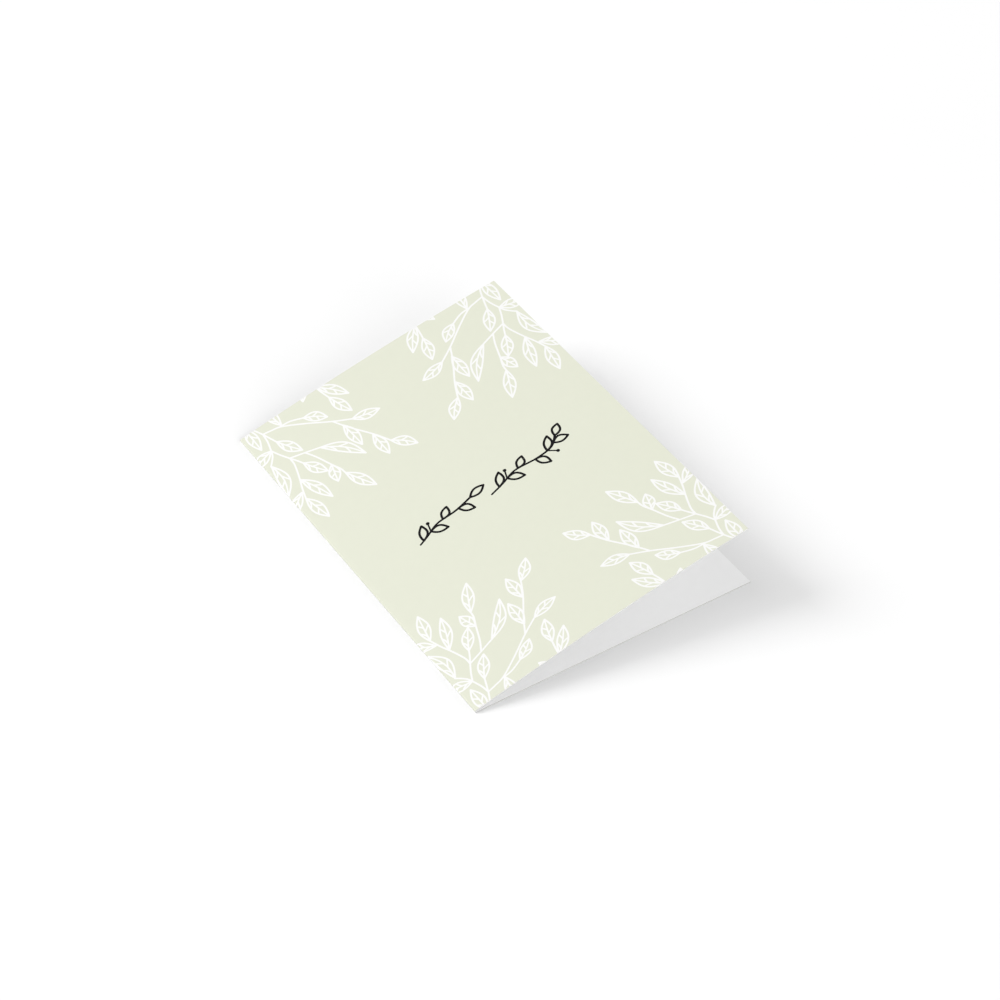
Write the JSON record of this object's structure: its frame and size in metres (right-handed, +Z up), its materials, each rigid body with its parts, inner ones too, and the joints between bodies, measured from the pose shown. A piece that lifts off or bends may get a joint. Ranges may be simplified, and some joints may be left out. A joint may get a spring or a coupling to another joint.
{
  "type": "greeting card",
  "caption": "Folded greeting card of heavy paper, lying on its back panel with the printed cover lifted a little at the free edge.",
  "frame": {"origin": "centre of the card's footprint, on the surface that the back panel lies on", "axes": "+X from the fold to the free edges, +Y along the fold towards the top of the cover, +Z up, out of the surface it lies on"},
  "size_m": [0.127, 0.1778, 0.031],
  "materials": {
    "card_stock": "matt heavy card, pale sage print with white leaf sprays on the cover, plain white inside and back"
  },
  "bodies": {
    "root": {"folded_card": "card_stock"}
  },
  "joints": []
}
